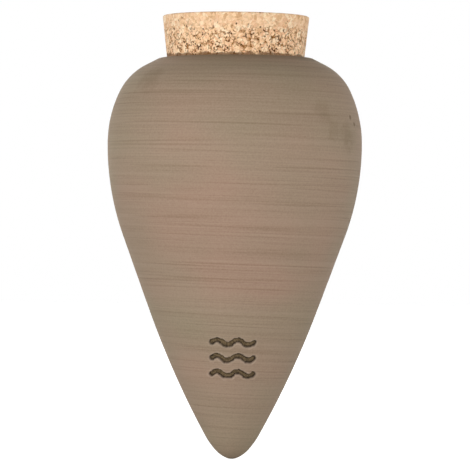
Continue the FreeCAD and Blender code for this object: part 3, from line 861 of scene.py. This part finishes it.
    sunk = addNode(tree, "ShaderNodeMath", {0: groove, 1: grooveDepth}, operation="MULTIPLY")
    total = addNode(tree, "ShaderNodeMath", {0: burrLift, 1: sunk}, operation="SUBTRACT")
    move = addNode(tree, "ShaderNodeVectorMath", {0: normal, 3: total}, operation="SCALE")

    # Thrown by hand: the shoulder and the rim rise a little to one side
    aboveBelly = addNode(
        tree, "ShaderNodeMapRange",
        {"Value": (parts, "Z"), 1: (given, "Tilt from"), 2: (given, "Tilt to")},
        interpolation_type="SMOOTHSTEP",
    )
    side = addNode(tree, "ShaderNodeMath", {0: aboveBelly, 1: (parts, "X")}, operation="MULTIPLY")
    rise = addNode(tree, "ShaderNodeMath", {0: side, 1: (given, "Rim tilt")}, operation="MULTIPLY")
    upwards = addNode(tree, "ShaderNodeCombineXYZ", {"Z": rise})
    moved = addNode(tree, "ShaderNodeVectorMath", {0: move, 1: upwards}, operation="ADD")

    # The masks are stored for the material
    shaped = (given, "Geometry")
    for name, value in (("groove", groove), ("wall", wall), ("burr", burr)):
        shaped = addNode(
            tree, "GeometryNodeStoreNamedAttribute",
            {"Geometry": shaped, "Name": name, "Value": value},
        )
    shaped = addNode(tree, "GeometryNodeSetPosition", {"Geometry": shaped, "Offset": moved})
    shaped = addNode(tree, "GeometryNodeRealizeInstances", {"Geometry": shaped})
    shaped = addNode(
        tree, "GeometryNodeSetMaterial", {"Geometry": shaped, "Material": materials["clay"]}
    )
    addNode(tree, "NodeGroupOutput", {"Geometry": shaped})
    return tree


vessel = turned("turned_clay_vessel", vesselSection(vesselShape), roundAngles(vesselShape))
applyTree(vessel, clayMarksTree(clayMarks), clayMarks)

# The cork, in millimetres and degrees: a tapered plug, remeshed evenly so that its granules show
# alike on its side and its ends
corkShape = {
    "topRadius": 30.0, "length": 28.0, "taper": 6.4, "top": 181.0, "edgeRadius": 0.5,
    "edgeRow": 0.3, "angleCount": 150, "voxel": 0.42,
}


def corkSection(s):
    sideTilt = -math.radians(s["taper"])
    lowRadius = s["topRadius"] - s["length"] * math.tan(-sideTilt)
    bottom = s["top"] - s["length"]
    down, up = -math.pi / 2, math.pi / 2
    lowCentre = roundedCorner((lowRadius, bottom), down, sideTilt, s["edgeRadius"])
    highCentre = roundedCorner((s["topRadius"], s["top"]), sideTilt, up, s["edgeRadius"])
    arcs = sectionOf([
        (lowCentre, s["edgeRadius"], down, sideTilt, s["edgeRow"]),
        (highCentre, s["edgeRadius"], sideTilt, up, s["edgeRow"]),
    ])
    return [(0.0, bottom * mm), *arcs, (0.0, s["top"] * mm)]


# What pressing and sanding leave in the cork, in metres. Noises count cells in each metre, as above
corkMarks = {
    "Granule size": 2.5 * mm,
    "Bend": 1.0 * mm,
    "Bend noise": 500.0,
    "Crevice width": 0.3 * mm,
    "Crevice depth": 0.5 * mm,
    "Crevice share": 0.54,
    "Open noise": 240.0,
    "Dot noise": 900.0,
    "Pit size": 1.1 * mm,
    "Pit depth": 0.8 * mm,
    "Pit share": 0.07,
    "Smooth above": 174.5 * mm,  # height over which the side is nearly free of gaps
    "Edge chips": 0.5 * mm,
    "Chip noise": 420.0,
}


def corkMarksTree(sizes):
    tree, given = newTree("pressed granules", sizes)
    place = addNode(tree, "GeometryNodeInputPosition")
    normal = addNode(tree, "GeometryNodeInputNormal")
    parts = addNode(tree, "ShaderNodeSeparateXYZ", {0: place})
    noises = {}
    for name, detail in (("Bend", 2.0), ("Open", 2.0), ("Dot", 1.0), ("Chip", 1.0)):
        noises[name] = addNode(
            tree, "ShaderNodeTexNoise",
            {"Vector": place, "Scale": (given, f"{name} noise"), "Detail": detail},
        )
    bent = addNode(
        tree, "ShaderNodeVectorMath", {0: (noises["Bend"], "Color"), 1: (given, "Bend"), 2: place},
        operation="MULTIPLY_ADD",
    )

    # Crevices follow the borders of the granules, where a coarse noise leaves the binder open
    granuleScale = addNode(
        tree, "ShaderNodeMath", {0: 1.0, 1: (given, "Granule size")}, operation="DIVIDE"
    )
    borders = addNode(
        tree, "ShaderNodeTexVoronoi", {"Vector": bent, "Scale": granuleScale},
        feature="DISTANCE_TO_EDGE",
    )
    borderGap = addNode(
        tree, "ShaderNodeMath", {0: (borders, "Distance"), 1: (given, "Granule size")},
        operation="MULTIPLY",
    )
    gapShare = addNode(
        tree, "ShaderNodeMath", {0: borderGap, 1: (given, "Crevice width")}, operation="DIVIDE"
    )
    gap = addNode(
        tree, "ShaderNodeMapRange", {"Value": gapShare, 1: 1.0, 2: 0.2},
        interpolation_type="SMOOTHSTEP",
    )
    closedBelow = addNode(
        tree, "ShaderNodeMapRange", {"Value": (given, "Crevice share"), 3: 0.72, 4: 0.34}
    )
    openBy = addNode(
        tree, "ShaderNodeMath", {0: noises["Open"], 1: closedBelow}, operation="SUBTRACT"
    )
    opened = addNode(tree, "ShaderNodeMapRange", {"Value": openBy, 2: 0.08})
    above = addNode(
        tree, "ShaderNodeMath", {0: (parts, "Z"), 1: (given, "Smooth above")}, operation="SUBTRACT"
    )
    lower = addNode(
        tree, "ShaderNodeMapRange", {"Value": above, 1: 3.0 * mm, 2: -1.0 * mm, 3: 0.12, 4: 1.0}
    )
    dots = addNode(tree, "ShaderNodeMapRange", {"Value": noises["Dot"], 1: 0.43, 2: 0.51})
    openInDots = addNode(tree, "ShaderNodeMath", {0: opened, 1: dots}, operation="MULTIPLY")
    creviceOpen = addNode(tree, "ShaderNodeMath", {0: gap, 1: openInDots}, operation="MULTIPLY")
    crevice = addNode(tree, "ShaderNodeMath", {0: creviceOpen, 1: lower}, operation="MULTIPLY")

    # Pits where a crumb has fallen out
    pitScale = addNode(tree, "ShaderNodeMath", {0: 1.0, 1: (given, "Pit size")}, operation="DIVIDE")
    pits = addNode(tree, "ShaderNodeTexVoronoi", {"Vector": bent, "Scale": pitScale}, feature="F1")
    pitKey = addNode(tree, "FunctionNodeSeparateColor", {0: (pits, "Color")})
    fallen = addNode(
        tree, "ShaderNodeMath", {0: (pitKey, "Red"), 1: (given, "Pit share")}, operation="LESS_THAN"
    )
    hollow = addNode(
        tree, "ShaderNodeMapRange", {"Value": (pits, "Distance"), 1: 0.34, 2: 0.16},
        interpolation_type="SMOOTHSTEP",
    )
    pitMask = addNode(tree, "ShaderNodeMath", {0: fallen, 1: hollow}, operation="MULTIPLY")
    pit = addNode(tree, "ShaderNodeMath", {0: pitMask, 1: lower}, operation="MULTIPLY")

    creviceSink = addNode(
        tree, "ShaderNodeMath", {0: crevice, 1: (given, "Crevice depth")}, operation="MULTIPLY"
    )
    sink = addNode(
        tree, "ShaderNodeMath", {0: pit, 1: (given, "Pit depth"), 2: creviceSink},
        operation="MULTIPLY_ADD",
    )

    # Chips along the edges, where the surface turns from the side to an end
    chipShare = addNode(tree, "ShaderNodeMapRange", {"Value": noises["Chip"], 1: 0.52, 2: 0.75})
    facing = addNode(tree, "ShaderNodeSeparateXYZ", {0: normal})
    slant = addNode(tree, "ShaderNodeMath", {0: (facing, "Z")}, operation="ABSOLUTE")
    pastEdge = addNode(tree, "ShaderNodeMath", {0: slant, 1: 0.6}, operation="SUBTRACT")
    fromEdge = addNode(tree, "ShaderNodeMath", {0: pastEdge}, operation="ABSOLUTE")
    nearEdge = addNode(tree, "ShaderNodeMapRange", {"Value": fromEdge, 1: 0.35, 2: 0.1})
    chip = addNode(tree, "ShaderNodeMath", {0: chipShare, 1: nearEdge}, operation="MULTIPLY")
    allSunk = addNode(
        tree, "ShaderNodeMath", {0: chip, 1: (given, "Edge chips"), 2: sink}, operation="MULTIPLY_ADD"
    )
    inward = addNode(tree, "ShaderNodeMath", {0: allSunk, 1: -1.0}, operation="MULTIPLY")
    move = addNode(tree, "ShaderNodeVectorMath", {0: normal, 3: inward}, operation="SCALE")
    hidden = addNode(tree, "ShaderNodeMath", {0: crevice, 1: pit}, operation="MAXIMUM")

    shaped = addNode(
        tree, "GeometryNodeStoreNamedAttribute",
        {"Geometry": (given, "Geometry"), "Name": "crevice", "Value": hidden},
    )
    shaped = addNode(tree, "GeometryNodeSetPosition", {"Geometry": shaped, "Offset": move})
    shaped = addNode(tree, "GeometryNodeRealizeInstances", {"Geometry": shaped})
    shaped = addNode(
        tree, "GeometryNodeSetMaterial", {"Geometry": shaped, "Material": materials["cork"]}
    )
    addNode(tree, "NodeGroupOutput", {"Geometry": shaped})
    return tree


corkAngles = [2 * math.pi * k / corkShape["angleCount"] for k in range(corkShape["angleCount"])]
cork = turned("pressed_cork_stopper", corkSection(corkShape), corkAngles)
remesh = cork.modifiers.new("even mesh", "REMESH")
remesh.mode = "VOXEL"
remesh.voxel_size = corkShape["voxel"] * mm
remesh.use_smooth_shade = True
applyTree(cork, corkMarksTree(corkMarks), corkMarks)

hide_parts("clay_vessel")
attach(vessel, "vessel")
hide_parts("cork_stopper")
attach(cork, "stopper")
print("pieces made")

# The stage: a plain pale floor that keeps a soft shadow, and a white surround past it
stage = {
    "floorSize": 6.0, "floorColour": "#d2d2d2", "floorGlow": 0.85,
    "horizonLight": 4.5, "lightFall": 2.5, "frontShare": 0.04,
}


def cameraSees(tree):
    # 1 for what the camera, a reflection or clear glass sees directly, 0 for the light on things
    ray = addNode(tree, "ShaderNodeLightPath")
    either = addNode(
        tree, "ShaderNodeMath", {0: (ray, "Is Camera Ray"), 1: (ray, "Is Glossy Ray")},
        operation="MAXIMUM",
    )
    return addNode(
        tree, "ShaderNodeMath", {0: either, 1: (ray, "Is Transmission Ray")}, operation="MAXIMUM"
    )


def floorMaterial(look):
    material, tree = newMaterial("paleFloor")
    dull = addNode(tree, "ShaderNodeBsdfDiffuse", {"Color": linear(look["floorColour"])})
    glow = addNode(
        tree, "ShaderNodeMath", {0: cameraSees(tree), 1: look["floorGlow"]}, operation="MULTIPLY"
    )
    light = addNode(tree, "ShaderNodeEmission", {"Color": (1, 1, 1, 1), "Strength": glow})
    both = addNode(tree, "ShaderNodeAddShader", {0: dull, 1: light})
    addNode(tree, "ShaderNodeOutputMaterial", {"Surface": both})
    return material


half = stage["floorSize"] / 2
corners = [(-half, -half, 0), (half, -half, 0), (half, half, 0), (-half, half, 0)]
floor = meshPiece("pale_floor", corners, [(0, 1, 2, 3)])
floor.data.materials.append(floorMaterial(stage))

world = bpy.data.worlds.new("white surround")
world.use_nodes = True
surround = world.node_tree
surround.nodes.clear()
# A backdrop that is brightest behind the object and falls away towards the zenith and the front
direction = addNode(surround, "ShaderNodeTexCoord")
towards = addNode(surround, "ShaderNodeSeparateXYZ", {0: (direction, "Generated")})
fromZenith = addNode(
    surround, "ShaderNodeMath", {0: 1.0, 1: (towards, "Z")}, operation="SUBTRACT", use_clamp=True
)
falling = addNode(
    surround, "ShaderNodeMath", {0: fromZenith, 1: stage["lightFall"]}, operation="POWER"
)
behind = addNode(
    surround, "ShaderNodeMapRange",
    {"Value": (towards, "Y"), 1: -0.15, 2: 0.15, 3: stage["frontShare"], 4: 1.0},
)
shared = addNode(surround, "ShaderNodeMath", {0: falling, 1: behind}, operation="MULTIPLY")
backdropLight = addNode(
    surround, "ShaderNodeMath", {0: shared, 1: stage["horizonLight"]}, operation="MULTIPLY"
)
strength = addNode(
    surround, "ShaderNodeMapRange",
    {"Value": cameraSees(surround), 3: backdropLight, 4: 1.0},
)
background = addNode(
    surround, "ShaderNodeBackground", {"Color": (1, 1, 1, 1), "Strength": strength}
)
addNode(surround, "ShaderNodeOutputWorld", {"Surface": background})
bpy.context.scene.world = world

# Soft lamps: the main one in front and a weaker one to the left, both level with the object, and one
# behind and above that lights its top
lamps = {
    "front": {"place": (0.2, -1.6, 0.28), "size": (0.9, 0.4), "watts": 19.5},
    "left": {"place": (-1.4, -0.6, 0.34), "size": (0.9, 0.4), "watts": 6.5},
    "back": {"place": (-0.3, 1.2, 0.95), "size": (0.9, 0.6), "watts": 5.0},
}
middle = Vector((0, 0, 0.09))
for name, lamp in lamps.items():
    data = bpy.data.lights.new(f"soft lamp {name}", "AREA")
    data.shape = "RECTANGLE"
    data.size, data.size_y = lamp["size"]
    data.energy = lamp["watts"]
    light = bpy.data.objects.new(data.name, data)
    light.location = lamp["place"]
    light.rotation_euler = (middle - light.location).to_track_quat("-Z", "Y").to_euler()
    bpy.context.scene.collection.objects.link(light)

# The camera looks level at the object's middle, and its small roll gives the lean in the picture
view = {"place": (0.00048, -1.33, 0.09155), "lens": 249.0, "sensor": 36.0, "roll": 0.5926}
cameraData = bpy.data.cameras.new("camera")
cameraData.lens = view["lens"]
cameraData.sensor_width = view["sensor"]
cameraData.sensor_fit = "HORIZONTAL"
cameraData.clip_start = 0.01
camera = bpy.data.objects.new("camera", cameraData)
camera.location = view["place"]
camera.rotation_euler = (math.pi / 2, -math.radians(view["roll"]), 0)
bpy.context.scene.collection.objects.link(camera)
bpy.context.scene.camera = camera
bpy.context.scene.view_settings.view_transform = "Standard"

print("stage, lamps and camera set")
